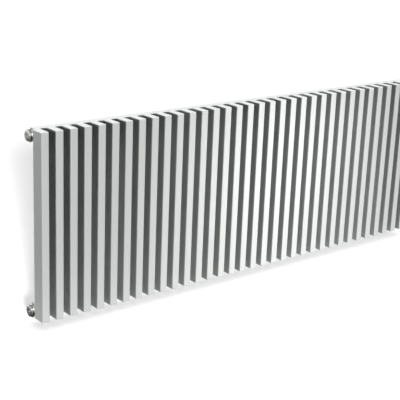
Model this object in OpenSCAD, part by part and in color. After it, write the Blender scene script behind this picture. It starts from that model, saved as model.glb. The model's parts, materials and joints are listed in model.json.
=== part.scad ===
// Wall-hung hot-water radiator: a row of upright rectangular tubes on edge, welded to a
// header pipe behind their tops and another behind their feet.
// X runs along the row, Y points at the wall, Z is up. The origin is the centre of the
// four wall fixings, on the wall plane.

/* [Radiator] */
// Number of upright tubes
tube_count = 34; // [10:1:34]
// Height of the radiator, over the tube caps
height = 600; // [500:10:900]
// Distance from one tube to the next
pitch = 50; // [44:1:60]
// Gap between the back of the headers and the wall
wall_gap = 40; // [38:1:50]

/* [Upright tubes] */
// Width of a tube, as seen from the front
tube_w = 25; // [20:1:30]
// Depth of a tube, from front to back
tube_d = 50; // [40:1:60]
// Wall thickness of a tube
tube_wall = 1.5; // [1.2:0.1:2]
// Outer radius of the tube's long edges
tube_r = 2; // [1.5:0.1:3]
// Thickness of the welded end caps
cap_t = 3; // [2:0.5:4]

/* [Headers] */
// Depth of a header, from front to back
header_d = 30; // [30:1:36]
// Height of a header
header_h = 40; // [40:1:46]
// Wall thickness of a header
header_wall = 2; // [1.5:0.1:3]
// How far each header stops short of the outer tube's side
header_inset = 8; // [6:1:12]

/* [Plugs and ports] */
// Bore radius of the G1/2 ports, at the crest of the thread
port_r = 9.3; // [9.2:0.05:9.5]
// Radius of the round front disc of a plug
disc_r = 17.5; // [16:0.5:19]
// Radius of the flange that seats on the port
flange_r = 21; // [20:0.5:22]

/* [Wall rails] */
// Distance between the two wall rails
rail_span = 1200; // [400:50:1200]
// Height between the two fixing holes of a rail
hole_span = 400; // [300:10:420]
// Radius of a fixing hole
hole_r = 4.5; // [3:0.5:5]
// Width of a rail
rail_w = 36; // [36:1:40]
// Sheet thickness of a rail
rail_t = 3; // [2.5:0.5:3]

/* [Hidden] */
$fn = 48;
clear = 0.05;                               // radial clearance of a running fit
row_len = (tube_count - 1) * pitch + tube_w;
depth = tube_d + header_d + wall_gap;
front_y = -depth;
tube_back_y = front_y + tube_d;
header_back_y = tube_back_y + header_d;
half_h = height / 2;
header_len = row_len - 2 * header_inset;
axis_y = tube_back_y + header_d / 2;        // the ports' axis, along X
axis_z = half_h - header_h / 2;             // above the origin, and as far below it

// punched water way between a tube and a header
way_w = 12;
way_h = 20;

// end fitting of a header: plate, boss and inner sleeve, along the port's axis
plate_t = 3;
boss_r = header_d / 2;
boss_out = 9;                               // how far the boss stands out of the header
sleeve_r = 12;
sleeve_len = 3;
port_len = boss_out + plate_t + sleeve_len;

// plug, measured outwards from the face of the boss
flange_t = 3;
neck_r = 12;
neck_t = 3.5;
disc_t = 3.5;
disc_face = -flange_t - neck_t - disc_t;    // front face of the disc
shank_r = port_r - clear;
shank_len = 11;
seal_t = 1.2;                               // groove depth and thickness of the seal
seal_r = 12;
recess_r = 7.2;
recess_t = 1.2;
hex_r = 5.8;
hex_deep = 7;

// air vent: fixed body, turning outlet disc and bleed screw
spigot_r = 5.6;
lip_r = 6.8;
lip_t = 0.7;
screw_r = 3.2;
key = 4;                                    // side of the square that the vent key takes
key_len = 4;
screw_len = disc_t + neck_t + flange_t - recess_t - key_len - 0.5;
outlet_r = 1.2;

// top seat of a rail: two cheeks, a seat plate, a nylon pad and a lug of the radiator
cheek_front = axis_y - 11;                  // in front of the lug's slot
cheek_drop = 32;
pad_t = 3;
seat_t = 4;
seat_z = half_h - header_h - pad_t;         // upper face of the seat plate
lug_t = 4;
lug_d = 16;
lug_drop = 26;
slot_w = 6;
slot_d = 19;
flange_fold = 12;                           // depth of the rail's long folded edges

// lock bolt, through both cheeks and the lug
bolt_r = 3;
bolt_z = seat_z - seat_t - 12;              // the bolt's axis, below the seat plate
bolt_tip = 20;
knob_r = 8;
knob_t = 8;
lug_hole_r = 3.5;

// stand-off at the foot: captive thumb nut, threaded spindle and nylon foot
foot_t = 6;
foot_w = 28;
foot_h = 22;
foot_gap = 0.3;
foot_back = header_back_y + foot_gap + foot_t;
spindle_r = 5;
socket_deep = 3.5;
nut_r = 13;
nut_t = 7;
nut_slack = 0.3;
fork_t = 2.5;
fork_back = -10.5;                          // wall side of the rear fork plate
nut_back = fork_back - fork_t - nut_slack;
fork_front = nut_back - nut_t - nut_slack;
spindle_back = -9;
rail_foot = -half_h + 4;                    // a rail ends short of the tubes at both ends
rail_top = half_h - 20;
rail_gap = min(rail_span, header_len - 2 * rail_w);    // keeps both rails behind the headers
fork_h = 2 * (-axis_z - rail_foot);         // the fork is centred on the spindle
fork_clear = 0.2;                           // radial clearance of the spindle in the fork

white = [0.93, 0.94, 0.93];
nickel = [0.72, 0.72, 0.71];
zinc = [0.62, 0.64, 0.66];
nylon = [0.20, 0.21, 0.22];
rubber = [0.08, 0.08, 0.08];

function two(n) = n < 10 ? str("0", n) : str(n);
TUBES = [for (i = [1:tube_count]) str("tube_", two(i))];

function tube_x(i) = (i - (tube_count - 1) / 2) * pitch;

// corner points of a rectangle with rounded corners, centred on the origin
corner_steps = 4;
function round_rect(w, d, r) = [for (q = [0:3], s = [0:corner_steps])
    let (a = 90 * (q + s / corner_steps),
         cx = (q == 0 || q == 3 ? 1 : -1) * (w / 2 - r),
         cy = (q < 2 ? 1 : -1) * (d / 2 - r))
    [cx + r * cos(a), cy + r * sin(a)]];

module box_section(w, d, wall, r, len)
    linear_extrude(height = len) difference() {
        polygon(round_rect(w, d, r));
        polygon(round_rect(w - 2 * wall, d - 2 * wall, r / 2));
    }

// a cylinder along +X from x0
module rod_x(x0, len, r) translate([x0, 0, 0]) rotate([0, 90, 0]) cylinder(h = len, r = r);

// a cylinder along +Y from y0
module rod_y(y0, len, r) translate([0, y0, 0]) rotate([-90, 0, 0]) cylinder(h = len, r = r);

// puts a fitting drawn with its outer face towards -X on one of the four header ends
module at_port(side, level) translate([side * (row_len / 2 - header_inset + boss_out),
        axis_y, level * axis_z]) mirror([side > 0 ? 1 : 0, 0, 0]) children();

module at_rail(side) translate([side * rail_gap / 2, 0, 0]) mirror([side < 0 ? 1 : 0, 0, 0])
    children();

// ---- radiator body ----

module tube(i) color(white) translate([tube_x(i), front_y + tube_d / 2, 0]) difference() {
    translate([0, 0, cap_t - half_h])
        box_section(tube_w, tube_d, tube_wall, tube_r, height - 2 * cap_t);
    for (level = [-1, 1])
        translate([-way_w / 2, tube_d / 2 - 2 * tube_wall, level * axis_z - way_h / 2])
            cube([way_w, 3 * tube_wall, way_h]);
}

module tube_caps(level) color(white) for (i = [0:tube_count - 1])
    translate([tube_x(i), front_y + tube_d / 2, level > 0 ? half_h - cap_t : -half_h])
        linear_extrude(height = cap_t) polygon(round_rect(tube_w, tube_d, tube_r));

module header(level) color(white) difference() {
    translate([-header_len / 2, axis_y, level * axis_z]) rotate([90, 0, 90])
        box_section(header_d, header_h, header_wall, tube_r, header_len);
    for (i = [0:tube_count - 1])
        translate([tube_x(i) - way_w / 2, tube_back_y - header_wall, level * axis_z - way_h / 2])
            cube([way_w, 3 * header_wall, way_h]);
}

// welded end fitting with a G1/2 port; its outer face is at x = 0
module end_boss() color(white) difference() {
    union() {
        rod_x(0, boss_out, boss_r);
        translate([boss_out, 0, 0]) rotate([90, 0, 90]) linear_extrude(height = plate_t)
            polygon(round_rect(header_d - 2 * header_wall, header_h - 2 * header_wall, tube_r / 2));
        rod_x(boss_out + plate_t, sleeve_len, sleeve_r);
    }
    rod_x(-1, port_len + 2, port_r);
}

module hanger_lug() color(white) difference() {
    translate([-lug_t / 2, axis_y - lug_d / 2, half_h - header_h - lug_drop])
        cube([lug_t, lug_d, lug_drop]);
    translate([0, axis_y, bolt_z]) rod_x(-lug_t, 2 * lug_t, lug_hole_r);
}

module hanger_lugs() for (side = [-1, 1]) at_rail(side) hanger_lug();

// ---- plugs, drawn with the face of the boss at x = 0 and the room at -x ----

// ring groove in the flange's inner face, around the shank
module seal_ring(inner, outer, t) translate([-t, 0, 0]) rotate([0, 90, 0]) difference() {
    cylinder(h = t, r = outer);
    translate([0, 0, -1]) cylinder(h = t + 2, r = inner);
}

module plug_blank() difference() {
    union() {
        rod_x(-flange_t, flange_t, flange_r);
        rod_x(0, shank_len, shank_r);
    }
    seal_ring(shank_r, seal_r + clear, seal_t);
}

module blanking_plug() color(nickel) difference() {
    union() {
        plug_blank();
        rod_x(-flange_t - neck_t, neck_t, neck_r);
        rod_x(disc_face, disc_t, disc_r);
    }
    rod_x(disc_face - 1, recess_t + 1, recess_r);
    translate([disc_face - 1, 0, 0]) rotate([0, 90, 0])
        cylinder(h = hex_deep + 1, r = hex_r, $fn = 6);
}

// fixed part of the air vent: shank, flange, neck and the spigot that carries the disc
module vent_body() color(nickel) difference() {
    union() {
        plug_blank();
        rod_x(-flange_t - neck_t, neck_t, neck_r);
        rod_x(disc_face + recess_t - lip_t, disc_t + lip_t, spigot_r);
        rod_x(disc_face + recess_t - lip_t - clear, lip_t, lip_r);
    }
    rod_x(disc_face - 1, disc_t + neck_t + flange_t + 1, screw_r + clear);
    rod_x(-1, shank_len + 2, outlet_r);
    translate([disc_face + disc_t - 1, 0, 0]) rotate([180, 0, 0])
        cylinder(h = spigot_r + 1, r = outlet_r);
}

// turning disc of the air vent, with the outlet hole in its rim
module vent_outlet_disc() color(nickel) difference() {
    rod_x(disc_face, disc_t - clear, disc_r);
    rod_x(disc_face - 1, recess_t + 1, recess_r);
    rod_x(disc_face - 1, disc_t + 2, spigot_r + clear);
    translate([disc_face + disc_t - 1, 0, 0]) rotate([180, 0, 0])
        cylinder(h = disc_r + 1, r = outlet_r / 2);
}

// bleed screw with a square end for the vent key
module vent_bleed_screw() color(zinc) {
    rod_x(disc_face + recess_t + key_len, screw_len, screw_r);
    translate([disc_face + recess_t, -key / 2, -key / 2]) cube([key_len, key, key]);
}

module plug_seal() color(rubber)
    translate([-clear, 0, 0]) seal_ring(shank_r + clear, seal_r, seal_t - 2 * clear);

module plug_seals() for (level = [-1, 1]) at_port(-1, level) plug_seal();

// ---- wall rails, drawn for the right-hand side about x = 0 ----

module wall_rail() color(white) difference() {
    union() {
        translate([-rail_w / 2, -rail_t, rail_foot])
            cube([rail_w, rail_t, rail_top - rail_foot]);
        for (side = [-1, 1]) translate([side > 0 ? rail_w / 2 - rail_t : -rail_w / 2, 0, 0]) {
            // long folded edge
            translate([0, -flange_fold, rail_foot])
                cube([rail_t, flange_fold, rail_top - rail_foot]);
            // cheek of the seat
            translate([0, cheek_front, seat_z - seat_t - cheek_drop])
                cube([rail_t, -cheek_front, cheek_drop + seat_t]);
            // cheek of the fork
            translate([0, fork_front - fork_t, rail_foot])
                cube([rail_t, fork_t - fork_front, fork_h]);
        }
        // seat plate
        translate([-rail_w / 2, cheek_front, seat_z - seat_t])
            cube([rail_w, -cheek_front, seat_t]);
        // fork plates on both sides of the thumb nut
        for (y = [fork_back - fork_t, fork_front - fork_t])
            translate([-rail_w / 2, y, rail_foot])
                cube([rail_w, fork_t, fork_h]);
    }
    for (level = [-1, 1]) translate([0, 0, level * hole_span / 2])
        rod_y(-2 * rail_t, 3 * rail_t, hole_r);
    // slot that the lug drops into
    translate([-slot_w / 2, axis_y - slot_d / 2, seat_z - seat_t - 1])
        cube([slot_w, slot_d, seat_t + 2]);
    translate([0, axis_y, bolt_z]) rod_x(-rail_w, 2 * rail_w, bolt_r + clear);
    translate([0, 0, -axis_z])
        rod_y(fork_front - 2 * fork_t, fork_back - fork_front + 3 * fork_t,
                spindle_r + fork_clear);
}

module seat_pad() color(nylon) difference() {
    translate([-rail_w / 2, cheek_front, seat_z]) cube([rail_w, -cheek_front + header_back_y, pad_t]);
    translate([-slot_w / 2, axis_y - slot_d / 2, seat_z - 1]) cube([slot_w, slot_d, pad_t + 2]);
}

// round bolt with a knurled knob; it pulls out along +X
module lock_bolt() color(zinc) translate([0, axis_y, bolt_z]) {
    rod_x(-bolt_tip, 2 * bolt_tip, bolt_r);
    rod_x(bolt_tip, knob_t, knob_r);
}

module thumb_nut() color(zinc) translate([0, 0, -axis_z]) difference() {
    rod_y(nut_back - nut_t, nut_t, nut_r);
    rod_y(nut_back - nut_t - 1, nut_t + 2, spindle_r + clear);
}

module spacer_spindle() color(zinc) translate([0, 0, -axis_z])
    rod_y(foot_back - socket_deep, spindle_back - foot_back + socket_deep, spindle_r);

module spacer_foot() color(nylon) translate([0, 0, -axis_z]) difference() {
    translate([-foot_w / 2, foot_back - foot_t, -foot_h / 2]) cube([foot_w, foot_t, foot_h]);
    rod_y(foot_back - socket_deep - clear, socket_deep + 1, spindle_r + clear);
}

for (i = [0:tube_count - 1]) tube(i);
tube_caps(1);  // tube_caps_top
tube_caps(-1);  // tube_caps_bottom
header(1);  // header_top
header(-1);  // header_bottom
at_port(-1, 1) end_boss();  // end_boss_top_left
at_port(1, 1) end_boss();  // end_boss_top_right
at_port(-1, -1) end_boss();  // end_boss_bottom_left
at_port(1, -1) end_boss();  // end_boss_bottom_right
at_port(-1, 1) vent_body();
at_port(-1, 1) vent_outlet_disc();
at_port(-1, 1) vent_bleed_screw();
at_port(-1, -1) blanking_plug();
plug_seals();
hanger_lugs();
at_rail(-1) wall_rail();  // wall_rail_left
at_rail(1) wall_rail();  // wall_rail_right
at_rail(-1) seat_pad();  // seat_pad_left
at_rail(1) seat_pad();  // seat_pad_right
at_rail(-1) lock_bolt();  // lock_bolt_left
at_rail(1) lock_bolt();  // lock_bolt_right
at_rail(-1) thumb_nut();  // thumb_nut_left
at_rail(1) thumb_nut();  // thumb_nut_right
at_rail(-1) spacer_spindle();  // spacer_spindle_left
at_rail(1) spacer_spindle();  // spacer_spindle_right
at_rail(-1) spacer_foot();  // spacer_foot_left
at_rail(1) spacer_foot();  // spacer_foot_right
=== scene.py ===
"""Builds the finished look of a wall-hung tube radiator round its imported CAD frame."""
import json
import math

import bmesh
import bpy
from bpy.props import FloatProperty, FloatVectorProperty, IntProperty, PointerProperty
from mathutils import Matrix, Vector


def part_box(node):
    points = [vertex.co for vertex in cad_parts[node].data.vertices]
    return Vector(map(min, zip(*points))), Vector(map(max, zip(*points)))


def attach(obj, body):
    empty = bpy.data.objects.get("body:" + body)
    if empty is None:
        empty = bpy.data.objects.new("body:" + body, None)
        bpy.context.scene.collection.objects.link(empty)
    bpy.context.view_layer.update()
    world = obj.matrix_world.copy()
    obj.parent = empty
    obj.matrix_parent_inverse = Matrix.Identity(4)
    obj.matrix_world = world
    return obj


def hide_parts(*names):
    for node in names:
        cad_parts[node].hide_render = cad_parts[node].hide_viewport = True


bl_info = {
    "name": "Tube radiator",
    "version": (1, 0, 0),
    "blender": (4, 5, 0),
    "location": "View3D > Sidebar > Radiator",
    "description": "Makes the tubes, headers, plugs, wall rails and studio of a wall-hung tube radiator",
    "category": "Object",
}

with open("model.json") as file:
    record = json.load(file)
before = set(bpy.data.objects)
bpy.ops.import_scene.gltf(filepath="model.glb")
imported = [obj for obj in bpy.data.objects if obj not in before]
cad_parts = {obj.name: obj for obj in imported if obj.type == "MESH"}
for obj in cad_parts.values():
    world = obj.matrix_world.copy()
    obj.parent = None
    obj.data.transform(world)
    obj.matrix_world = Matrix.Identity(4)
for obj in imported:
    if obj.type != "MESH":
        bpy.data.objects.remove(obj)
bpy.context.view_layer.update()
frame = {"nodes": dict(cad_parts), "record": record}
MM = 0.001


# ---- places and sizes that the frame gives ----

def middle(node):
    """Centre of a CAD node's box."""
    low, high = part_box(node)
    return (low + high) / 2


def extent(node):
    """Size of a CAD node's box."""
    low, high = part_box(node)
    return high - low


TUBES = sorted(name for name in frame["nodes"] if name.startswith("tube_") and name[5:].isdigit())
FIRST_TUBE = middle(TUBES[0])
TUBE_STEP = middle(TUBES[1]) - FIRST_TUBE
TUBE_SIZE = extent(TUBES[0])
CAP_T = extent("tube_caps_top").z
HEADER_SIZE = extent("header_top")
PORT_Y = middle("end_boss_top_left").y
PORT_Z = middle("end_boss_top_left").z
BOSS_FACE_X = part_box("end_boss_top_right")[1].x
HEADER_END_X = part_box("header_top")[1].x
BACK_OF_TUBES_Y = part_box(TUBES[0])[1].y
SEAM = 0.35 * MM
LOWER_RIM = 1.6 / 3 * MM                    # rim radius of a bottom cap
SHARP = math.radians(32)
FLOOR_HALF = 30.0                           # half the side of the studio's floor, in metres
FAR_FILL = 0.3                              # far end's fill, as a share of the near end's
HEADER_LIGHT = 0.67                         # light on the headers, as a share of the main light


# ---- settings that a user may change ----

def length_setting(label, about, default, low, high):
    """A length setting, given in millimetres."""
    return FloatProperty(name=label, description=about, default=default * MM, min=low * MM,
                         max=high * MM, unit="LENGTH")


def colour_setting(label, about, *default):
    return FloatVectorProperty(name=label, description=about, default=default, size=3, min=0,
                               max=1, subtype="COLOR")


def angle_setting(label, about, default):
    """An angle setting, given in degrees."""
    return FloatProperty(name=label, description=about, default=math.radians(default),
                         subtype="ANGLE")


def power_setting(label, about, default):
    return FloatProperty(name=label, description=about, default=default, min=0)


class RadiatorSizes(bpy.types.PropertyGroup):
    """Edge roundings, welds and threads of the radiator."""

    edge_radius: length_setting("Tube edge", "Radius of a tube's long edges", 2.0, 0.5, 3)
    cap_edge: length_setting("Cap edge", "Radius of the upper rim of a welded top cap", 1.6, 0.2, 2.4)
    bead: length_setting("Weld bead", "Leg of the weld bead between a tube and a header", 1.6, 0.8, 3)
    sheet_edge: length_setting("Sheet edge", "Rounding of the edges of folded sheet and moulded pads",
                               0.5, 0.1, 1)
    pipe_pitch: length_setting("Port thread pitch", "Pitch of the pipe thread in the ports",
                               1.814, 1, 2.5)
    rod_pitch: length_setting("Spindle thread pitch", "Pitch of the thread on the spacer spindles",
                              2.0, 1, 3)
    ridges: IntProperty(
        name="Grip ridges", description="Number of ridges round a knob or a thumb nut",
        default=36, min=12, max=60)
    tone_seed: IntProperty(
        name="Tone seed", description="Seed of the small paint differences between tubes",
        default=7, min=0)


class RadiatorColours(bpy.types.PropertyGroup):
    """Base colours of the radiator's finishes."""

    paint: colour_setting("Powder coat", "White powder coat of the radiator", 0.72, 0.74, 0.725)
    rail_paint: colour_setting("Rail coat", "Powder coat of the wall rails", 0.70, 0.72, 0.71)
    nickel: colour_setting("Nickel", "Nickel plate of the vent and the plug", 0.74, 0.735, 0.71)
    zinc: colour_setting("Zinc", "Zinc plate of the bolts, nuts and spindles", 0.60, 0.63, 0.65)
    nylon: colour_setting("Nylon", "Black nylon of the pads and feet", 0.028, 0.029, 0.031)
    rubber: colour_setting("Rubber", "Rubber of the plug seals", 0.015, 0.015, 0.015)


class RadiatorStudio(bpy.types.PropertyGroup):
    """Camera, lights and floor of the studio."""

    eye: FloatVectorProperty(
        name="Camera", description="Place of the camera", default=(-2.3160, -2.6472, 1.0140),
        size=3, subtype="TRANSLATION", unit="LENGTH")
    heading: angle_setting("Heading", "Turn of the view from straight ahead towards +X", 39.49)
    tilt: angle_setting("Tilt", "How far the camera looks down", 17.25)
    roll: angle_setting("Roll", "Roll of the camera about its line of sight", 2.286)
    lens: FloatProperty(
        name="Lens", description="Focal length of the camera in millimetres",
        default=92.51, min=20, max=300)
    floor_drop: length_setting("Floor", "Height of the radiator's foot over the floor", 30, 20, 1000)
    floor_tone: FloatProperty(
        name="Floor tone", description="Reflectance of the floor", default=0.93, min=0, max=1)
    sky: power_setting("Sky", "Strength of the even light all round", 0.005)
    main: power_setting("Main", "Strength of the light from ahead and above", 2.8)
    above: power_setting("Above", "Strength of the light on the tops", 0.6)
    behind: power_setting("Behind", "Strength of the light from behind", 2.0)
    key: power_setting("Key", "Power of the light before the middle", 1.5)
    fill: power_setting("End fill", "Power of the light on the left end", 20.0)
    below: power_setting("Below", "Power of the light thrown back from below", 1.3)
    floor_even: power_setting("Floor, even", "Strength of the floor's shadowless light", 0.5)
    floor_high: power_setting("Floor, high", "Strength of the floor's light from above", 2.1)
    floor_low: power_setting("Floor, low", "Strength of the floor's light from the side", 5.4)


def sizes():
    return bpy.context.scene.radiator_sizes


def colours():
    return bpy.context.scene.radiator_colours


# ---- shader trees ----

class Wire:
    """An output socket in a shader tree. Arithmetic on it adds Math nodes."""

    def __init__(self, tree, socket=None):
        self.tree = tree
        self.socket = socket

    def node(self, kind, settings=None, values=None, output=0):
        """Adds a node of any kind, applies its settings, then fills or links its inputs."""
        node = self.tree.nodes.new(kind)
        for name, value in (settings or {}).items():
            if name == "stops":
                stops = node.color_ramp.elements
                for index, (place, tone) in enumerate(value):
                    stop = stops[index] if index < len(stops) else stops.new(place)
                    stop.position = place
                    stop.color = (tone, tone, tone, 1)
            else:
                setattr(node, name, value)
        for key, value in (values or {}).items():
            if isinstance(value, Wire):
                self.tree.links.new(value.socket, node.inputs[key])
            else:
                node.inputs[key].default_value = value
        return Wire(self.tree, None if output is None else node.outputs[output])

    def maths(self, operation, first, second=0.0):
        return self.node("ShaderNodeMath", {"operation": operation}, {0: first, 1: second})

    def __add__(self, other):
        return self.maths("ADD", self, other)

    __radd__ = __add__

    def __mul__(self, other):
        return self.maths("MULTIPLY", self, other)

    __rmul__ = __mul__

    def __sub__(self, other):
        return self.maths("SUBTRACT", self, other)

    def __rsub__(self, other):
        return self.maths("SUBTRACT", other, self)

    def ramp(self, *stops):
        return self.node("ShaderNodeValToRGB", {"stops": stops}, {"Fac": self})

    def noise(self, scale, detail=2.0, roughness=0.5):
        """Noise over the place that this wire holds, as a value about 0.5."""
        return self.node("ShaderNodeTexNoise", None,
                         {"Vector": self, "Scale": scale, "Detail": detail, "Roughness": roughness})

    def cells(self, scale):
        return self.node("ShaderNodeTexVoronoi", {"feature": "F1"},
                         {"Vector": self, "Scale": scale}, output=1)

    def blend(self, dark, light):
        """Mixes two colours by this wire."""
        return self.node("ShaderNodeMix", {"data_type": "RGBA"}, {0: self, 6: dark, 7: light}, output=2)

    def tint(self, colour):
        """Multiplies a colour by this wire's grey."""
        return self.node("ShaderNodeMix", {"data_type": "RGBA", "blend_type": "MULTIPLY"},
                         {0: 1.0, 6: colour, 7: self}, output=2)

    def bump(self, depth, normal=None):
        """A normal bumped by this wire's height, depth metres deep."""
        values = {"Height": self, "Distance": depth, "Strength": 1.0}
        if normal is not None:
            values["Normal"] = normal
        return self.node("ShaderNodeBump", None, values)


def rgba(colour):
    return (*colour, 1.0)


def new_finish(name):
    """An empty material, its principled shader and a wire that starts in its tree."""
    material = bpy.data.materials.new(name)
    material.use_nodes = True
    material.node_tree.nodes.clear()
    start = Wire(material.node_tree)
    shader = start.node("ShaderNodeBsdfPrincipled").socket.node
    output = material.node_tree.nodes.new("ShaderNodeOutputMaterial")
    material.node_tree.links.new(shader.outputs[0], output.inputs["Surface"])
    return material, shader, start


def set_inputs(shader, **values):
    """Fills or links the principled shader's sockets; an underscore stands for a space."""
    for name, value in values.items():
        socket = shader.inputs[name.replace("_", " ")]
        if isinstance(value, Wire):
            value.tree.links.new(value.socket, socket)
        else:
            socket.default_value = value


def object_place(start):
    return start.node("ShaderNodeTexCoord", output=3)


def powder_coat(name, colour):
    """Satin powder coat: orange peel, slow drift of tone, settled dust and thin edges."""
    material, shader, start = new_finish(name)
    place = object_place(start)
    tone = start.node("ShaderNodeAttribute", {"attribute_name": "tone"}, output=2)
    edge = start.node("ShaderNodeAttribute", {"attribute_name": "edge"}, output=2)
    drift = place.noise(2.6, 3)
    cloud = place.noise(38, 4, 0.6)
    shade = 0.965 + drift * 0.04 + cloud * 0.015 + tone * 0.02
    coat = shade.tint(rgba(colour))
    thin = (edge * place.noise(260, 3)).ramp((0.30, 0), (0.75, 1))
    coat = (thin * 0.16).blend(coat, rgba([c * 0.80 for c in colour]))
    facing = start.node("ShaderNodeNewGeometry", output=1).node(
        "ShaderNodeSeparateXYZ", None, {0: start.node("ShaderNodeNewGeometry", output=1)}, output=2)
    dust = facing.ramp((0.75, 0), (1.0, 1)) * place.noise(55, 5, 0.65).ramp((0.42, 0), (0.72, 1))
    coat = (dust * 0.10).blend(coat, (0.62, 0.60, 0.56, 1))
    peel = place.noise(620, 2, 0.45)
    grain = place.noise(2600, 2, 0.5)
    height = peel + grain * 0.25
    set_inputs(shader, Base_Color=coat, Roughness=0.46 + cloud * 0.10 + dust * 0.2 - edge * 0.04,
               Specular_IOR_Level=0.2, Normal=height.bump(0.07 * MM))
    return material


def turned_metal(name, colour, axis, centre, gloss, cut):
    """Plated metal turned on a lathe: tool marks run round the axis through centre."""
    material, shader, start = new_finish(name)
    place = object_place(start)
    local = start.node("ShaderNodeMapping", {"vector_type": "POINT"},
                       {"Vector": place, "Location": tuple(-c for c in centre)})
    across = [0.0 if index == axis else 1.0 for index in range(3)]
    flat = start.node("ShaderNodeVectorMath", {"operation": "MULTIPLY"}, {0: local, 1: across})
    radius = start.node("ShaderNodeVectorMath", {"operation": "LENGTH"}, {0: flat}, output=1)
    along = start.node("ShaderNodeSeparateXYZ", None, {0: local}, output=axis)
    travel = radius + along + place.noise(90, 2) * (0.3 * MM)
    marks = start.maths("SINE", travel * (math.tau / cut)) * 0.5 + 0.5
    stain = place.noise(120, 4, 0.6)
    handled = place.noise(900, 3, 0.6)
    colouring = (stain * 0.5 + 0.25).blend(rgba([c * 0.92 for c in colour]), rgba(colour))
    set_inputs(shader, Base_Color=colouring, Metallic=1.0,
               Roughness=gloss + stain * 0.08 + handled * 0.04 + marks * 0.03,
               Normal=(marks + handled * 0.3).bump(0.0025 * MM))
    return material


def zinc_plate(name, colour):
    """Blue-white zinc plate, with a faint spangle and a patchy haze of lighter and darker tone."""
    material, shader, start = new_finish(name)
    place = object_place(start)
    spangle = place.cells(420).node("ShaderNodeSeparateColor", None, {0: place.cells(420)})
    haze = place.noise(160, 4, 0.6)
    worn = rgba([min(1, c * 1.18) for c in colour])
    colouring = (haze * 0.6 + spangle * 0.3).blend(rgba([c * 0.82 for c in colour]), worn)
    set_inputs(shader, Base_Color=colouring, Metallic=1.0, Roughness=0.28 + haze * 0.16,
               Normal=place.noise(1500, 3).bump(0.008 * MM))
    return material


def moulded(name, colour, grain_scale, roughness):
    """Moulded nylon or rubber with a fine grain and light scuffs."""
    material, shader, start = new_finish(name)
    place = object_place(start)
    scuff = place.noise(140, 5, 0.7)
    rubbed = rgba([c * 1.9 + 0.004 for c in colour])
    colouring = scuff.ramp((0.5, 0), (0.78, 1)).blend(rgba(colour), rubbed)
    grain = place.noise(grain_scale, 3, 0.6)
    set_inputs(shader, Base_Color=colouring, Roughness=roughness + scuff * 0.15,
               Normal=grain.bump(0.03 * MM))
    return material


def studio_floor_finish(name, tone):
    material, shader, start = new_finish(name)
    place = object_place(start)
    cloud = place.noise(0.7, 3)
    set_inputs(shader, Base_Color=(0.99 + cloud * 0.01).tint((tone, tone, tone, 1)), Roughness=0.92,
               Specular_IOR_Level=0.1, Normal=place.noise(300, 2).bump(0.02 * MM))
    return material


FINISHES = {}


def finish_of(name, maker, *details):
    """Makes a finish once and hands it out after that."""
    if name not in FINISHES:
        FINISHES[name] = maker(name, *details)
    return FINISHES[name]


def radiator_paint():
    return finish_of("radiator_powder_coat", powder_coat, colours().paint)


def rail_paint():
    return finish_of("rail_powder_coat", powder_coat, colours().rail_paint)


def plug_nickel(level):
    """Nickel whose tool marks run round the top or the bottom port."""
    where = "top" if level > 0 else "bottom"
    centre = (-BOSS_FACE_X, PORT_Y, level * PORT_Z)
    return finish_of(f"plug_nickel_{where}", turned_metal, colours().nickel, 0, centre, 0.13, 0.45 * MM)


def zinc():
    return finish_of("zinc_plate", zinc_plate, colours().zinc)


def nylon():
    return finish_of("black_nylon", moulded, colours().nylon, 1800, 0.42)


def rubber():
    return finish_of("seal_rubber", moulded, colours().rubber, 3000, 0.60)


# ---- mesh helpers ----

def as_object(name, mesh, finish, sharp=SHARP):
    """Links a mesh as an object, with its finish and with edges over the angle kept sharp."""
    if finish is not None:
        mesh.materials.clear()
        mesh.materials.append(finish)
    if sharp is not None:
        mesh.shade_smooth()
        mesh.set_sharp_from_angle(angle=sharp)
    made = bpy.data.objects.new(name, mesh)
    bpy.context.scene.collection.objects.link(made)
    return made


def bmesh_object(name, shape, finish):
    mesh = bpy.data.meshes.new(name)
    shape.to_mesh(mesh)
    shape.free()
    return as_object(name, mesh, finish)


def place_piece(piece, body, slot, *nodes):
    """Puts a finished piece on its body and hides the CAD nodes it stands for. The slot argument is not
    used.
    """
    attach(piece, body)
    if nodes:
        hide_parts(*nodes)
    return piece


def rounded_line(points, radius, steps=4, closed=False):
    """Rounds the corners of a flat outline, by at most half of each side."""
    count = len(points)
    line = []
    for index, point in enumerate(points):
        here = Vector(point)
        if not closed and index in (0, count - 1):
            line.append(here)
            continue
        before, after = Vector(points[index - 1]), Vector(points[(index + 1) % count])
        cut = min(radius, (before - here).length * 0.5, (after - here).length * 0.5)
        start, end = here + (before - here).normalized() * cut, here + (after - here).normalized() * cut
        for step in range(steps + 1):
            t = step / steps
            line.append(start.lerp(here, t).lerp(here.lerp(end, t), t))
    return line


def box_outline(width, depth, radius, steps=6, shoulder=2.5 * MM):
    """Points and edge weights round a rounded rectangle; each corner has a plain point beside it."""
    outline = []
    for quarter in range(4):
        side_x = 1 if quarter in (0, 3) else -1
        side_y = 1 if quarter < 2 else -1
        centre = Vector((side_x * (width / 2 - radius), side_y * (depth / 2 - radius)))
        turn = [math.pi / 2 * (quarter + step / steps) for step in range(steps + 1)]
        arc = [centre + radius * Vector((math.cos(a), math.sin(a))) for a in turn]
        lead_in = Vector((math.sin(turn[0]), -math.cos(turn[0])))
        lead_out = Vector((-math.sin(turn[-1]), math.cos(turn[-1])))
        outline.append((arc[0] + lead_in * shoulder, 0.0))
        outline.extend((point, 1.0) for point in arc)
        outline.append((arc[-1] + lead_out * shoulder, 0.0))
    return outline


def rim_levels(rim, end, inwards):
    """(inset, height, edge weight) of the rings that round one rim of a bar."""
    turn = [math.pi / 2 * step / 4 for step in range(5)]
    return [(rim * (1 - math.sin(a)), end + inwards * rim * (1 - math.cos(a)), 1.0) for a in turn]


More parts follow.
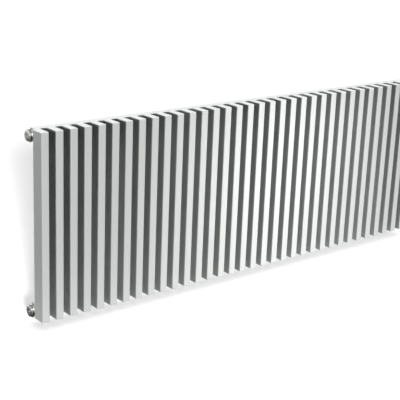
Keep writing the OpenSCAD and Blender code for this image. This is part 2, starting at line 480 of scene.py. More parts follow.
def lofted_bar(name, width, depth, length, radius, rims, finish, place, steps=6):
    """A bar along Z with rounded long edges and rims (lower, upper), moved by place."""
    shape = bmesh.new()
    weight = shape.verts.layers.float.new("edge")
    rings = []
    half, shoulder = length / 2, 3 * MM
    below, above = rim_levels(rims[0], -half, 1), rim_levels(rims[1], half, -1)
    levels = [(rims[0] + shoulder, -half, 0.0), *below]
    if length > 4 * shoulder:
        levels += [(0.0, rims[0] + shoulder - half, 0.0), (0.0, half - rims[1] - shoulder, 0.0)]
    levels += [*reversed(above), (rims[1] + shoulder, half, 0.0)]
    for inset, z, rim_weight in levels:
        ring = []
        inset = min(inset, min(width, depth) * 0.3)
        outline = box_outline(width - 2 * inset, depth - 2 * inset, max(radius - inset, 0.2 * MM),
                              steps, min(2.5 * MM, min(width, depth) * 0.15))
        for point, corner_weight in outline:
            vertex = shape.verts.new(place @ Vector((point.x, point.y, z)))
            vertex[weight] = max(rim_weight, corner_weight if inset < max(rims) + MM else 0.0)
            ring.append(vertex)
        rings.append(ring)
    for low, high in zip(rings, rings[1:]):
        for index in range(len(low)):
            after = (index + 1) % len(low)
            shape.faces.new((low[index], low[after], high[after], high[index]))
    shape.faces.new(list(reversed(rings[0])))
    shape.faces.new(rings[-1])
    bmesh.ops.recalc_face_normals(shape, faces=shape.faces)
    return bmesh_object(name, shape, finish)


def turn_frame(origin, axis):
    """Matrix that takes +Z to an axis at a point."""
    return Matrix.Translation(origin) @ axis.to_track_quat("Z", "Y").to_matrix().to_4x4()


def turned(name, outline, place, finish, steps=96, closed=False, shift=None):
    """Spins (along, radius) points about the Z axis of place. shift(angle) moves a ring along,
    as a thread needs; closed joins the last point of the outline to the first."""
    shape = bmesh.new()
    rings = []
    for along, radius in outline:
        if radius < 1e-6:
            rings.append([shape.verts.new(place @ Vector((0, 0, along)))])
            continue
        ring = []
        for step in range(steps):
            a = math.tau * step / steps
            grow = shift(along, radius, a) if shift else radius
            ring.append(shape.verts.new(place @ Vector((grow * math.cos(a), grow * math.sin(a), along))))
        rings.append(ring)
    pairs = list(zip(rings, rings[1:]))
    if closed:
        pairs.append((rings[-1], rings[0]))
    for low, high in pairs:
        for step in range(steps):
            after = (step + 1) % steps
            corners = [low[step % len(low)], low[after % len(low)],
                       high[after % len(high)], high[step % len(high)]]
            face = [corner for index, corner in enumerate(corners) if corner not in corners[:index]]
            if len(face) > 2:
                shape.faces.new(face)
    bmesh.ops.recalc_face_normals(shape, faces=shape.faces)
    return bmesh_object(name, shape, finish)


def thread(pitch, deep, low, high):
    """Radius rule of a screw thread between two stations along the axis."""
    def rule(along, radius, angle):
        if not low <= along <= high:
            return radius
        phase = (along / pitch - angle / math.tau) % 1.0
        return radius - deep * min(1.0, max(0.0, 1.6 * (1 - abs(2 * phase - 1)) - 0.3))
    return rule


def stations(low, high, step):
    """Evenly spaced numbers from low to high."""
    count = max(1, round((high - low) / step))
    return [low + (high - low) * index / count for index in range(count + 1)]


def softened(node, name, finish, width):
    """A copy of a CAD node with its triangles merged into flat faces and its edges rounded."""
    mesh = frame["nodes"][node].data.copy()
    shape = bmesh.new()
    shape.from_mesh(mesh)
    bmesh.ops.remove_doubles(shape, verts=shape.verts, dist=0.002 * MM)
    bmesh.ops.dissolve_limit(shape, angle_limit=math.radians(1), verts=shape.verts, edges=shape.edges)
    shape.to_mesh(mesh)
    shape.free()
    copy = as_object(name, mesh, finish)
    bevel = copy.modifiers.new("Rounding", "BEVEL")
    bevel.width = width
    bevel.segments = 2
    bevel.limit_method = "ANGLE"
    bevel.angle_limit = math.radians(40)
    bevel.miter_outer = "MITER_ARC"
    bevel.harden_normals = True
    return baked(copy, name, finish, keep_normals=True)


def baked(source, name, finish, keep_normals=False):
    """A plain mesh object from source with its modifiers applied; source is removed."""
    bpy.context.view_layer.update()
    depsgraph = bpy.context.evaluated_depsgraph_get()
    mesh = bpy.data.meshes.new_from_object(source.evaluated_get(depsgraph))
    bpy.data.objects.remove(source)
    return as_object(name, mesh, finish, None if keep_normals else SHARP)


def joined(name, pieces):
    """Joins mesh objects into the first one and renames it."""
    shape = bmesh.new()
    for piece in pieces:
        shape.from_mesh(piece.data)
    finish = pieces[0].data.materials[0]
    for piece in pieces:
        bpy.data.objects.remove(piece)
    return bmesh_object(name, shape, finish)


# ---- geometry node trees ----

def tree_with(name, inputs):
    """A geometry node group with named inputs, and its input and output nodes."""
    tree = bpy.data.node_groups.new(name, "GeometryNodeTree")
    for label, kind in inputs:
        tree.interface.new_socket(label, in_out="INPUT", socket_type=kind)
    tree.interface.new_socket("Geometry", in_out="OUTPUT", socket_type="NodeSocketGeometry")
    return tree, tree.nodes.new("NodeGroupInput"), tree.nodes.new("NodeGroupOutput")


def add_node(tree, kind, settings=None, **links):
    """Adds a geometry node; links name its inputs, with _ for a space, and give sockets or values."""
    node = tree.nodes.new(kind)
    for name, value in (settings or {}).items():
        setattr(node, name, value)
    for name, value in links.items():
        socket = next(s for s in node.inputs if s.name == name.replace("_", " ") and s.enabled)
        if isinstance(value, bpy.types.NodeSocket):
            tree.links.new(value, socket)
        else:
            socket.default_value = value
    return node


def row_tree():
    """Copies a blank along a straight row, and gives each copy its own tone."""
    tree, given, result = tree_with("Row", [
        ("Blank", "NodeSocketObject"), ("Count", "NodeSocketInt"), ("First", "NodeSocketVector"),
        ("Step", "NodeSocketVector"), ("Seed", "NodeSocketInt"), ("Finish", "NodeSocketMaterial")])
    line = add_node(tree, "GeometryNodeMeshLine", {"mode": "OFFSET"}, Count=given.outputs["Count"],
                    Start_Location=given.outputs["First"], Offset=given.outputs["Step"])
    blank = add_node(tree, "GeometryNodeObjectInfo", None, Object=given.outputs["Blank"])
    copies = add_node(tree, "GeometryNodeInstanceOnPoints", None, Points=line.outputs["Mesh"],
                      Instance=blank.outputs["Geometry"])
    chance = add_node(tree, "FunctionNodeRandomValue", {"data_type": "FLOAT"},
                      Seed=given.outputs["Seed"])
    toned = add_node(tree, "GeometryNodeStoreNamedAttribute",
                     {"data_type": "FLOAT", "domain": "INSTANCE"}, Geometry=copies.outputs[0],
                     Name="tone")
    value_socket = next(s for s in toned.inputs if s.name == "Value" and s.enabled)
    chance_socket = next(s for s in chance.outputs if s.enabled)
    tree.links.new(chance_socket, value_socket)
    real = add_node(tree, "GeometryNodeRealizeInstances", None, Geometry=toned.outputs[0])
    coated = add_node(tree, "GeometryNodeSetMaterial", None, Geometry=real.outputs[0],
                      Material=given.outputs["Finish"])
    tree.links.new(coated.outputs[0], result.inputs[0])
    return tree


def ring_tree():
    """Copies a blank round the Z axis, turned to face outwards, then turns and moves the ring."""
    tree, given, result = tree_with("Ring", [
        ("Blank", "NodeSocketObject"), ("Count", "NodeSocketInt"), ("Radius", "NodeSocketFloat"),
        ("Turn", "NodeSocketRotation"), ("Centre", "NodeSocketVector"),
        ("Finish", "NodeSocketMaterial")])
    circle = add_node(tree, "GeometryNodeMeshCircle", None, Vertices=given.outputs["Count"],
                      Radius=given.outputs["Radius"])
    blank = add_node(tree, "GeometryNodeObjectInfo", None, Object=given.outputs["Blank"])
    number = add_node(tree, "GeometryNodeInputIndex")
    share = add_node(tree, "ShaderNodeMath", {"operation": "DIVIDE"})
    tree.links.new(number.outputs[0], share.inputs[0])
    tree.links.new(given.outputs["Count"], share.inputs[1])
    turn = add_node(tree, "ShaderNodeMath", {"operation": "MULTIPLY"})
    tree.links.new(share.outputs[0], turn.inputs[0])
    turn.inputs[1].default_value = math.tau
    spin = add_node(tree, "ShaderNodeCombineXYZ", None, Z=turn.outputs[0])
    copies = add_node(tree, "GeometryNodeInstanceOnPoints", None, Points=circle.outputs[0],
                      Instance=blank.outputs["Geometry"], Rotation=spin.outputs[0])
    real = add_node(tree, "GeometryNodeRealizeInstances", None, Geometry=copies.outputs[0])
    placed = add_node(tree, "GeometryNodeTransform", None, Geometry=real.outputs[0],
                      Translation=given.outputs["Centre"], Rotation=given.outputs["Turn"])
    coated = add_node(tree, "GeometryNodeSetMaterial", None, Geometry=placed.outputs[0],
                      Material=given.outputs["Finish"])
    tree.links.new(coated.outputs[0], result.inputs[0])
    return tree


def grown(name, make_tree, blank, finish, **values):
    """Runs a node tree on a blank object and returns the plain mesh object that it makes."""
    carrier = bpy.data.objects.new(name + "_carrier", bpy.data.meshes.new(name))
    bpy.context.scene.collection.objects.link(carrier)
    modifier = carrier.modifiers.new(name, "NODES")
    tree = make_tree()
    modifier.node_group = tree
    values.update(Blank=blank, Finish=finish)
    for item in tree.interface.items_tree:
        if item.in_out == "INPUT" and item.name in values:
            modifier[item.identifier] = values[item.name]
    made = baked(carrier, name, finish)
    bpy.data.objects.remove(blank)
    return made


# ---- the radiator's pieces ----

class RADIATOR_OT_tubes(bpy.types.Operator):
    """Row of upright rectangular tubes"""

    bl_idname = "radiator.tubes"
    bl_label = "Tubes"

    def execute(self, context):
        blank = lofted_bar("tube_blank", TUBE_SIZE.x, TUBE_SIZE.y, TUBE_SIZE.z,
                           sizes().edge_radius, (SEAM, SEAM), None, Matrix.Identity(4))
        row = grown("upright_tubes", row_tree, blank, radiator_paint(), Count=len(TUBES),
                    First=FIRST_TUBE, Step=TUBE_STEP, Seed=sizes().tone_seed)
        place_piece(row, "radiator", "radiator_paint", *TUBES)
        return {"FINISHED"}


class RADIATOR_OT_caps(bpy.types.Operator):
    """Welded plates that close the tubes above and below"""

    bl_idname = "radiator.caps"
    bl_label = "Tube caps"

    def execute(self, context):
        for node in ("tube_caps_top", "tube_caps_bottom"):
            rims = (SEAM, sizes().cap_edge) if node.endswith("top") else (LOWER_RIM, SEAM)
            blank = lofted_bar("cap_blank", TUBE_SIZE.x, TUBE_SIZE.y, CAP_T, sizes().edge_radius,
                               rims, None, Matrix.Identity(4))
            first = Vector((FIRST_TUBE.x, FIRST_TUBE.y, middle(node).z))
            row = grown("end_" + node[5:], row_tree, blank, radiator_paint(), Count=len(TUBES),
                        First=first, Step=TUBE_STEP, Seed=sizes().tone_seed)
            place_piece(row, "radiator", "radiator_paint", node)
        return {"FINISHED"}


class RADIATOR_OT_headers(bpy.types.Operator):
    """Rectangular header pipes behind the tops and feet of the tubes"""

    bl_idname = "radiator.headers"
    bl_label = "Headers"

    def execute(self, context):
        for node in ("header_top", "header_bottom"):
            lie_down = Matrix.Translation(middle(node)) @ Matrix.Rotation(math.pi / 2, 4, "Y")
            bar = lofted_bar(node + "_pipe", HEADER_SIZE.z, HEADER_SIZE.y, HEADER_SIZE.x,
                             sizes().edge_radius * 0.5, (0.6 * MM, 0.6 * MM), radiator_paint(), lie_down)
            place_piece(bar, "radiator", "radiator_paint", node)
        return {"FINISHED"}


def bead_blank(leg, length):
    """A short rippled fillet weld along Z, in the corner between a tube and a header."""
    shape = bmesh.new()
    rings = []
    for z in stations(-length / 2, length / 2, 1.2 * MM):
        swell = 1 + 0.12 * math.sin(z / (1.2 * MM) * 2.1)
        taper = min(1.0, (length / 2 - abs(z)) / (2 * MM) + 0.25)
        reach = leg * swell * taper
        corners = [(0, 0), (reach, 0), (reach * 0.62, -reach * 0.62 + leg * 0.1), (0, -reach)]
        rings.append([shape.verts.new((x, y, z)) for x, y in corners])
    for low, high in zip(rings, rings[1:]):
        for index in range(4):
            after = (index + 1) % 4
            shape.faces.new((low[index], low[after], high[after], high[index]))
    shape.faces.new(list(reversed(rings[0])))
    shape.faces.new(rings[-1])
    bmesh.ops.recalc_face_normals(shape, faces=shape.faces)
    return bmesh_object("bead_blank", shape, None)


class RADIATOR_OT_welds(bpy.types.Operator):
    """Painted weld beads between the tubes and the headers"""

    bl_idname = "radiator.welds"
    bl_label = "Welds"

    def execute(self, context):
        top_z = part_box("tube_caps_top")[1].z
        for level, where in ((1, "top"), (-1, "bottom")):
            beads = []
            for side in (-1, 1):
                blank = bead_blank(sizes().bead, HEADER_SIZE.z - 2 * MM)
                if side < 0:
                    blank.data.transform(Matrix.Scale(-1, 4, (1, 0, 0)))
                    blank.data.flip_normals()
                # the outer tubes reach past the header, so their outer corners have no bead
                skip = 1 if side < 0 else 0
                first = Vector((FIRST_TUBE.x + side * TUBE_SIZE.x / 2 + skip * TUBE_STEP.x,
                                BACK_OF_TUBES_Y, level * PORT_Z))
                beads.append(grown(f"beads_{side}", row_tree, blank, radiator_paint(),
                                   Count=len(TUBES) - 1, First=first, Step=TUBE_STEP,
                                   Seed=sizes().tone_seed))
            # the weld between a cap and the header's face is filled and ground flush
            place_piece(joined("weld_beads_" + where, beads), "radiator", "radiator_paint")
            blank = lofted_bar("fill_blank", TUBE_SIZE.x - 1.6 * MM, 5.6 * MM, CAP_T, 0.8 * MM,
                               (0.1 * MM, 0.1 * MM), None, Matrix.Identity(4), steps=3)
            first = Vector((FIRST_TUBE.x, BACK_OF_TUBES_Y, level * (top_z - CAP_T / 2 - 0.02 * MM)))
            fill = grown("ground_welds_" + where, row_tree, blank, radiator_paint(),
                         Count=len(TUBES), First=first, Step=TUBE_STEP, Seed=sizes().tone_seed)
            place_piece(fill, "radiator", "radiator_paint")
        return {"FINISHED"}


def port_place(side, level):
    """Frame of a port: its Z axis points out of the header, its origin is on the boss's face."""
    return turn_frame(Vector((side * BOSS_FACE_X, PORT_Y, level * PORT_Z)), Vector((side, 0, 0)))


class RADIATOR_OT_bosses(bpy.types.Operator):
    """Turned and threaded bosses welded on the header ends"""

    bl_idname = "radiator.bosses"
    bl_label = "Header end bosses"

    def execute(self, context):
        outer_r = HEADER_SIZE.y / 2
        stand_out = BOSS_FACE_X - HEADER_END_X
        length = extent("end_boss_top_left").x
        bore_r = record_mount("flow_port")["dims"]["r_mm"] * MM
        pitch = sizes().pipe_pitch
        for side, word in ((-1, "left"), (1, "right")):
            for level, where in ((1, "top"), (-1, "bottom")):
                outside = rounded_line([(-length, bore_r), (-length, outer_r - 3 * MM),
                                        (-stand_out - 3 * MM, outer_r - 3 * MM),
                                        (-stand_out - 0.2 * MM, outer_r),
                                        (-stand_out + 1.6 * MM, outer_r),
                                        (-stand_out + 2.2 * MM, outer_r - 0.7 * MM),
                                        (0, outer_r - 0.7 * MM),
                                        (0, bore_r + 1.0 * MM), (-0.9 * MM, bore_r)], 0.4 * MM)
                inside = [Vector((z, bore_r)) for z in
                          reversed(stations(-length + 0.1 * MM, -1.0 * MM, pitch / 8))]
                boss = turned(f"header_boss_{where}_{word}", outside + inside,
                              port_place(side, level), radiator_paint(), closed=True,
                              shift=thread(pitch, -1.0 * MM, -length + MM, -1.5 * MM)
                              if side > 0 else None)
                place_piece(boss, "radiator", "radiator_paint", f"end_boss_{where}_{word}")
        return {"FINISHED"}


def record_mount(name):
    return next(m for m in frame["record"]["mounts"] if m["name"] == name)


def plug_stack():
    """Stations of a plug's parts, outwards from the boss's face: flange, neck and disc."""
    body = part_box("blanking_plug")
    disc = extent("vent_outlet_disc")
    front = -BOSS_FACE_X - body[0].x
    return {"flange_r": (body[1].z - body[0].z) / 2, "disc_r": disc.z / 2, "front": front,
            "shank_r": 9.25 * MM, "shank": extent("blanking_plug").x - front}


def domed_face(front, outer_r, inner_r):
    """Outline of a disc's front from its rim to its recess, falling gently towards the rim."""
    share = [index / 8 for index in range(9)]
    return [(front - 1.5 * MM * (1 - t) ** 2, outer_r + (inner_r - outer_r) * t) for t in share]


class RADIATOR_OT_blanking_plug(bpy.types.Operator):
    """Nickel-plated plug in the bottom left port, with a hexagon socket"""

    bl_idname = "radiator.blanking_plug"
    bl_label = "Blanking plug"

    def execute(self, context):
        place = port_place(-1, -1)
        nickel = plug_nickel(-1)
        size = plug_stack()
        front, disc_r, neck_r = size["front"], size["disc_r"], 12 * MM
        disc_back, flange = front - 3.5 * MM, 3 * MM
        recess_r, recess = 7.2 * MM, 1.2 * MM
        profile = [(-size["shank"], 0), (-size["shank"], size["shank_r"]), (0, size["shank_r"]),
                   (0, size["flange_r"]), (flange - 1.3 * MM, size["flange_r"]),
                   (flange, size["flange_r"] - 1.3 * MM), (flange, neck_r),
                   (disc_back, neck_r), (disc_back, disc_r), *domed_face(front, disc_r, recess_r),
                   (front - recess, recess_r), (front - recess, 0)]
        plug = turned("blank_plug_body", rounded_line(profile, 0.45 * MM), place, nickel)
        socket = hexagon_socket("hex_socket", 5.8 * MM, recess_r - 0.6 * MM, 0.03 * MM,
                                front - recess, place, nickel)
        place_piece(joined("blanking_plug_nickel", [plug, socket]), "radiator", "plug_nickel",
                    "blanking_plug")
        return {"FINISHED"}


def hexagon_socket(name, corner_r, rim_r, proud, floor, place, finish):
    """A turned collar with a hexagon hole, standing on the floor of a plug's recess."""
    shape = bmesh.new()
    steps = 72
    rings = []
    for z, radius, six in ((floor, rim_r, False), (floor + proud + 0.55 * MM, rim_r, False),
                           (floor + proud + 0.8 * MM, rim_r - 0.3 * MM, False),
                           (floor + proud + 0.8 * MM, corner_r + 0.2 * MM, True),
                           (floor + proud + 0.5 * MM, corner_r, True),
                           (floor + 0.02 * MM, corner_r, True)):
        ring = []
        for step in range(steps):
            a = math.tau * step / steps
            fold = (a + math.pi / 6) % (math.pi / 3) - math.pi / 6
            reach = radius * math.cos(math.pi / 6) / math.cos(fold) if six else radius
            ring.append(shape.verts.new(place @ Vector((reach * math.cos(a), reach * math.sin(a), z))))
        rings.append(ring)
    for low, high in zip(rings, rings[1:] + rings[:1]):
        for step in range(steps):
            after = (step + 1) % steps
            shape.faces.new((low[step], low[after], high[after], high[step]))
    bmesh.ops.recalc_face_normals(shape, faces=shape.faces)
    return bmesh_object(name, shape, finish)


class RADIATOR_OT_vent(bpy.types.Operator):
    """Air vent in the top left port: fixed body, turning outlet disc and bleed screw"""

    bl_idname = "radiator.vent"
    bl_label = "Air vent"

    def execute(self, context):
        place = port_place(-1, 1)
        nickel = plug_nickel(1)
        size = plug_stack()
        front, neck_r, flange = size["front"], 12 * MM, 3 * MM
        disc_back = front - 3.5 * MM
        spigot_r, lip_r, bore_r, recess_r = 5.6 * MM, 6.8 * MM, 3.25 * MM, 7.2 * MM
        recess_floor, lip_back, lip_front = front - 1.2 * MM, front - 1.15 * MM, front - 0.45 * MM
        body = [(-size["shank"], 0), (-size["shank"], size["shank_r"]), (0, size["shank_r"]),
                (0, size["flange_r"]), (flange - 1.3 * MM, size["flange_r"]),
                (flange, size["flange_r"] - 1.3 * MM), (flange, neck_r),
                (disc_back, neck_r), (disc_back, spigot_r), (lip_back, spigot_r),
                (lip_back, lip_r), (lip_front, lip_r), (lip_front, bore_r),
                (0, bore_r), (0, 0)]
        fixed = turned("air_vent_body", rounded_line(body, 0.4 * MM), place, nickel)
        place_piece(fixed, "radiator", "plug_nickel", "vent_body")
        ring = [(disc_back + 0.05 * MM, spigot_r + 0.05 * MM), (disc_back + 0.05 * MM, size["disc_r"]),
                *domed_face(front, size["disc_r"], recess_r), (recess_floor, recess_r),
                (recess_floor, spigot_r + 0.05 * MM)]
        disc = turned("air_vent_outlet_disc", rounded_line(ring, 0.5 * MM, closed=True), place, nickel,
                      closed=True)
        hole = turned("outlet_hole", rounded_line(
            [(0, 0), (0, 0.9 * MM), (0.25 * MM, 0.9 * MM), (0.25 * MM, 0.55 * MM), (0.05 * MM, 0.5 * MM),
             (0.05 * MM, 0)], 0.08 * MM),
            turn_frame(Vector((-BOSS_FACE_X - front + 1.75 * MM, PORT_Y,
                               PORT_Z - size["disc_r"] + 0.1 * MM)),
                       Vector((0, 0, -1))), nickel, steps=32)
        hole.data.transform(Matrix.Translation((0, 0, 0.15 * MM)))
        place_piece(joined("air_vent_disc", [disc, hole]), "vent_outlet", "plug_nickel",
                    "vent_outlet_disc")
        key, screw_r = 4 * MM, 3.2 * MM
        square = lofted_bar("vent_square", key, key, 4 * MM, 0.3 * MM, (0.35 * MM, 0.35 * MM), zinc(),
                            place @ Matrix.Translation((0, 0, front - 3.2 * MM)), steps=2)
        shank = turned("vent_screw_shank", rounded_line(
            [(0.5 * MM, 0), (0.5 * MM, screw_r), (4.8 * MM, screw_r), (4.8 * MM, 0)], 0.3 * MM),
            place, zinc(), steps=48)
        place_piece(joined("bleed_screw", [square, shank]), "vent_screw", "zinc_steel",
                    "vent_bleed_screw")
        return {"FINISHED"}


class RADIATOR_OT_seals(bpy.types.Operator):
    """Rubber rings behind the flanges of the vent and the plug"""

    bl_idname = "radiator.seals"
    bl_label = "Plug seals"

    def execute(self, context):
        rings = []
        thick = 1.1 * MM
        for level in (1, -1):
            profile = rounded_line([(0.05 * MM, 9.4 * MM), (0.05 * MM, 12 * MM),
                                    (0.05 * MM + thick, 12 * MM), (0.05 * MM + thick, 9.4 * MM)],
                                   0.5 * MM, closed=True)
            rings.append(turned(f"seal_{level}", profile, port_place(-1, level), rubber(),
                                closed=True))
        place_piece(joined("port_seals", rings), "radiator", "seal_rubber", "plug_seals")
        return {"FINISHED"}


class RADIATOR_OT_wall_rails(bpy.types.Operator):
    """Folded wall rails with the radiator's lugs and the nylon seat pads"""

    bl_idname = "radiator.wall_rails"
    bl_label = "Wall rails"

    def execute(self, context):
        edge = sizes().sheet_edge
        for word in ("left", "right"):
            rail = softened(f"wall_rail_{word}", f"folded_rail_{word}", rail_paint(), edge)
            place_piece(rail, "radiator", "rail_paint", f"wall_rail_{word}")
            pad = softened(f"seat_pad_{word}", f"nylon_seat_{word}", nylon(), edge)
            place_piece(pad, "radiator", "black_nylon", f"seat_pad_{word}")
        lugs = softened("hanger_lugs", "welded_lugs", radiator_paint(), edge)
        place_piece(lugs, "radiator", "radiator_paint", "hanger_lugs")
        return {"FINISHED"}


def ridge_blank(reach, width, length):
    """A three-sided grip ridge along Z whose crest points along +X."""
    shape = bmesh.new()
    rings = []
    for z, share in ((-length / 2, 0.2), (-length / 2 + reach, 1), (length / 2 - reach, 1),
                     (length / 2, 0.2)):
        rings.append([shape.verts.new((x, y, z)) for x, y in
                      ((-reach, -width / 2), (reach * share, 0), (-reach, width / 2))])
    for low, high in zip(rings, rings[1:]):
        for index in range(3):
            after = (index + 1) % 3
            shape.faces.new((low[index], low[after], high[after], high[index]))
    shape.faces.new(list(reversed(rings[0])))
    shape.faces.new(rings[-1])
    bmesh.ops.recalc_face_normals(shape, faces=shape.faces)
    return bmesh_object("ridge_blank", shape, None)


def grip_ring(name, radius, length, centre, axis):
    """Ridges round a knob or nut whose crests lie on the given radius."""
    reach = 0.45 * MM
    width = math.tau * radius / sizes().ridges * 0.9
    blank = ridge_blank(reach, width, length)
    turn = axis.to_track_quat("Z", "Y").to_euler()
    return grown(name, ring_tree, blank, zinc(), Count=sizes().ridges, Radius=radius - reach,
                 Turn=turn, Centre=centre)


class RADIATOR_OT_lock_bolts(bpy.types.Operator):
    """Pull bolts that lock the lugs in their seats"""

    bl_idname = "radiator.lock_bolts"
    bl_label = "Lock bolts"

    def execute(self, context):
        for side, word in ((-1, "left"), (1, "right")):
            low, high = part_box(f"lock_bolt_{word}")
            length = high.x - low.x
            knob_r = (high.z - low.z) / 2
            knob, rod_r = 8 * MM, 3 * MM
            tail = Vector((low.x if side > 0 else high.x, (low.y + high.y) / 2, (low.z + high.z) / 2))
            axis = Vector((side, 0, 0))
            grip_r = knob_r - 0.5 * MM
            profile = [(0, 0), (0, rod_r), (length - knob, rod_r), (length - knob, knob_r * 0.62),
                       (length - knob + 1.4 * MM, knob_r * 0.62), (length - knob + 1.8 * MM, grip_r),
                       (length - 0.8 * MM, grip_r), (length, grip_r - 1.2 * MM),
                       (length, 2.5 * MM), (length - 0.5 * MM, 1.8 * MM), (length - 0.5 * MM, 0)]
            rod = turned("bolt_rod", rounded_line(profile, 0.5 * MM), turn_frame(tail, axis), zinc(),
                         steps=72)
            ring_centre = tail + axis * (length - knob / 2 + 0.4 * MM)
            ring = grip_ring("bolt_ring", knob_r, knob - 2.6 * MM, ring_centre, axis)
            place_piece(joined(f"pull_bolt_{word}", [rod, ring]), f"bolt_{word}", "zinc_steel",
                        f"lock_bolt_{word}")
        return {"FINISHED"}


class RADIATOR_OT_spacers(bpy.types.Operator):
    """Stand-offs at the foot: thumb nut, threaded spindle and nylon foot"""

    bl_idname = "radiator.spacers"
    bl_label = "Foot spacers"

    def execute(self, context):
        along_y = Vector((0, 1, 0))
        pitch = sizes().rod_pitch
        for word in ("left", "right"):
            low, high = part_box(f"thumb_nut_{word}")
            centre, thick = (low + high) / 2, high.y - low.y
            nut_r, bore_r = (high.z - low.z) / 2, 5.05 * MM
            grip_r = nut_r - 0.5 * MM
            profile = [(-thick / 2, bore_r), (-thick / 2, nut_r * 0.72),
                       (-thick / 2 + 0.8 * MM, nut_r * 0.78), (-thick / 2 + 0.8 * MM, grip_r),
                       (thick / 2 - 0.8 * MM, grip_r), (thick / 2 - 0.8 * MM, nut_r * 0.78),
                       (thick / 2, nut_r * 0.72), (thick / 2, bore_r)]
            nut = turned("nut_body", rounded_line(profile, 0.4 * MM, closed=True),
                         turn_frame(centre, along_y), zinc(), steps=72, closed=True)
            ring = grip_ring("nut_ring", nut_r, thick - 1.8 * MM, centre, along_y)
            place_piece(joined(f"knurled_nut_{word}", [nut, ring]), f"nut_{word}", "zinc_steel",
                        f"thumb_nut_{word}")
            low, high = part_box(f"spacer_spindle_{word}")
            rod_r, length = (high.z - low.z) / 2, high.y - low.y
            centre = (low + high) / 2
            line = [(-length / 2, 0), (-length / 2, rod_r - 0.9 * MM)]
            line += [(z, rod_r) for z in stations(-length / 2 + 0.5 * MM, length / 2 - 0.9 * MM,
                                                  pitch / 8)]
            line += [(length / 2, rod_r - 1.0 * MM), (length / 2, 0)]
            rod = turned(f"threaded_spindle_{word}", line, turn_frame(centre, along_y), zinc(),
                         steps=48, shift=thread(pitch, 0.85 * MM, -length / 2, length / 2 - 0.8 * MM))
            place_piece(rod, f"spacer_{word}", "zinc_steel", f"spacer_spindle_{word}")
            foot = softened(f"spacer_foot_{word}", f"nylon_foot_{word}", nylon(), 1.0 * MM)
            place_piece(foot, f"spacer_{word}", "black_nylon", f"spacer_foot_{word}")
        return {"FINISHED"}


# ---- the studio ----

def add_lamp(name, kind, power, travel):
    """A lamp whose light travels along a direction."""
    data = bpy.data.lights.new(name, kind)
    data.energy = power
    lamp = bpy.data.objects.new(name, data)
    lamp.rotation_euler = travel.to_track_quat("-Z", "Y").to_euler()
    bpy.context.scene.collection.objects.link(lamp)
    return lamp


def soft_sun(name, heading, height, spread, power):
    """A sun whose light travels at a heading from +Y towards +X and drops by height; degrees."""
    turn, drop = math.radians(heading), math.radians(height)
    travel = Vector((math.sin(turn) * math.cos(drop), math.cos(turn) * math.cos(drop),
                     -math.sin(drop)))
    lamp = add_lamp(name, "SUN", power, travel)
    lamp.data.angle = math.radians(spread)
    return lamp


def studio_sky(strength):
    """A faint even sky; only glossy rays see the studio's bright band, only the camera sees white."""
    world = bpy.data.worlds.new("studio_sky")
    world.use_nodes = True
    world.node_tree.nodes.clear()
    start = Wire(world.node_tree)
    height = start.node("ShaderNodeSeparateXYZ", None,
                        {0: start.node("ShaderNodeTexCoord", output=0)}, output=2)
    band = (height * 0.5 + 0.5).ramp((0.10, 0.03), (0.30, 0.12), (0.40, 0.40), (0.48, 0.95),
                                     (0.62, 1.0), (0.80, 0.35), (1.0, 0.2))
    even = start.node("ShaderNodeBackground", None, {"Color": (1, 1, 1, 1), "Strength": strength})
    studio = start.node("ShaderNodeBackground", None, {"Color": band, "Strength": 1.1})
    white = start.node("ShaderNodeBackground", None, {"Color": (1, 1, 1, 1), "Strength": 1.0})
    lit = start.node("ShaderNodeMixShader", None,
                     {0: start.node("ShaderNodeLightPath", output=3), 1: even, 2: studio})
    seen = start.node("ShaderNodeMixShader", None,
                      {0: start.node("ShaderNodeLightPath", output=0), 1: lit, 2: white})
    start.node("ShaderNodeOutputWorld", None, {"Surface": seen}, output=None)
    return world


def share_light(lamps, pieces, state):
    """Makes lamps light only the pieces (INCLUDE) or everything but the pieces (EXCLUDE)."""
    group = bpy.data.collections.new("light_" + state.lower())
    for piece in pieces:
        group.objects.link(piece)
    for member in group.collection_objects:
        member.light_linking.link_state = state
    for lamp in lamps:
        lamp.light_linking.receiver_collection = group


def area_light(name, place, target, width, height, power):
    """A rectangular lamp at a place, aimed at a target."""
    lamp = add_lamp(name, "AREA", power, Vector(target) - Vector(place))
    lamp.data.shape = "RECTANGLE"
    lamp.data.size, lamp.data.size_y = width, height
    lamp.location = place
    return lamp


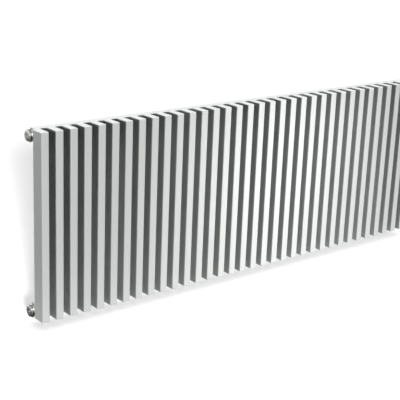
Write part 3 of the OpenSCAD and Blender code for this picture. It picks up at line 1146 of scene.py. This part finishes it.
class RADIATOR_OT_studio(bpy.types.Operator):
    """Pale floor, soft lights and the camera"""

    bl_idname = "radiator.studio"
    bl_label = "Studio"

    def execute(self, context):
        studio = context.scene.radiator_studio
        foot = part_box("tube_caps_bottom")[0].z
        shape = bmesh.new()
        corners = [shape.verts.new((x, y, foot - studio.floor_drop))
                   for x, y in ((-FLOOR_HALF, -FLOOR_HALF), (FLOOR_HALF, -FLOOR_HALF),
                                (FLOOR_HALF, FLOOR_HALF), (-FLOOR_HALF, FLOOR_HALF))]
        shape.faces.new(corners)
        floor = bmesh_object("studio_floor", shape,
                             studio_floor_finish("studio_floor", studio.floor_tone))
        floor.visible_diffuse = False
        floor.visible_glossy = False
        world = studio_sky(studio.sky)
        context.scene.world = world
        self.add_lights(studio, floor)
        context.scene.view_settings.view_transform = "Standard"
        self.add_camera(context, studio)
        return {"FINISHED"}

    def add_lights(self, studio, floor):
        """Lights for the radiator lie along the tubes' sides; the floor has its own soft set."""
        main = soft_sun("main", -1, 42, 3, studio.main)
        key = area_light("key", (0.15, -1.0, 0.15), (0.15, 0, 0.0), 0.5, 0.5, studio.key)
        key.data.spread = math.radians(85)
        below_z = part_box("tube_caps_bottom")[0].z - 25 * MM
        below = area_light("below", (0, -0.1, below_z), (0, -0.1, 0), 2.1, 0.5, studio.below)
        below.visible_camera = False
        below.visible_glossy = False
        share_light([
            soft_sun("above", 0, 89, 3, studio.above),
            soft_sun("behind", 180, 35, 3, studio.behind),
            area_light("end_fill", (-3.0, -0.55, 0.4), (-0.85, -0.1, 0), 0.5, 1.0, studio.fill),
            area_light("far_end_fill", (3.2, -0.06, 0.5), (0.85, -0.06, 0), 0.5, 1.0,
                       studio.fill * FAR_FILL),
            below,
        ], [floor], "EXCLUDE")
        # the headers lie in the tubes' shade, so the lights from ahead pass them by
        shaded = [bpy.data.objects[name] for name in
                  ("header_top_pipe", "header_bottom_pipe", "weld_beads_top", "weld_beads_bottom")]
        share_light([main, key], [floor, *shaded], "EXCLUDE")
        share_light([soft_sun("header_top_light", 0, 89, 3, studio.main * HEADER_LIGHT)],
                    shaded, "INCLUDE")
        even = soft_sun("floor_even", 0, 80, 20, studio.floor_even)
        even.data.use_shadow = False
        share_light([
            even,
            soft_sun("floor_high", 0, 84, 90, studio.floor_high),
            soft_sun("floor_low", 26.5, 15, 6, studio.floor_low),
        ], [floor], "INCLUDE")

    def add_camera(self, context, studio):
        data = bpy.data.cameras.new("camera")
        data.lens = studio.lens
        data.clip_end = 200
        camera = bpy.data.objects.new("camera", data)
        level = math.cos(studio.tilt)
        ahead = Vector((math.sin(studio.heading) * level, math.cos(studio.heading) * level,
                        -math.sin(studio.tilt)))
        aim = ahead.to_track_quat("-Z", "Y").to_matrix() @ Matrix.Rotation(studio.roll, 3, "Z")
        camera.matrix_world = Matrix.Translation(studio.eye) @ aim.to_4x4()
        context.scene.collection.objects.link(camera)
        context.scene.camera = camera


PIECES = (
    RADIATOR_OT_tubes, RADIATOR_OT_caps, RADIATOR_OT_headers, RADIATOR_OT_welds,
    RADIATOR_OT_bosses, RADIATOR_OT_blanking_plug, RADIATOR_OT_vent, RADIATOR_OT_seals,
    RADIATOR_OT_wall_rails, RADIATOR_OT_lock_bolts, RADIATOR_OT_spacers, RADIATOR_OT_studio)


class RADIATOR_PT_sidebar(bpy.types.Panel):
    """Lists the radiator's pieces and settings"""

    bl_label = "Tube radiator"
    bl_idname = "RADIATOR_PT_sidebar"
    bl_space_type = "VIEW_3D"
    bl_region_type = "UI"
    bl_category = "Radiator"

    def draw(self, context):
        for group in (context.scene.radiator_sizes, context.scene.radiator_colours,
                      context.scene.radiator_studio):
            box = self.layout.box()
            for name in group.bl_rna.properties.keys():
                if name not in ("rna_type", "name"):
                    box.prop(group, name)
        for piece in PIECES:
            self.layout.operator(piece.bl_idname)


GROUPS = (RadiatorSizes, RadiatorColours, RadiatorStudio)


def register():
    for kind in (*GROUPS, *PIECES, RADIATOR_PT_sidebar):
        bpy.utils.register_class(kind)
    bpy.types.Scene.radiator_sizes = PointerProperty(type=RadiatorSizes)
    bpy.types.Scene.radiator_colours = PointerProperty(type=RadiatorColours)
    bpy.types.Scene.radiator_studio = PointerProperty(type=RadiatorStudio)


def unregister():
    del bpy.types.Scene.radiator_studio
    del bpy.types.Scene.radiator_colours
    del bpy.types.Scene.radiator_sizes
    for kind in reversed((*GROUPS, *PIECES, RADIATOR_PT_sidebar)):
        bpy.utils.unregister_class(kind)


def main():
    register()
    for piece in PIECES:
        category, name = piece.bl_idname.split(".")
        getattr(getattr(bpy.ops, category), name)()
    bpy.context.view_layer.update()


if __name__ == "__main__":
    main()
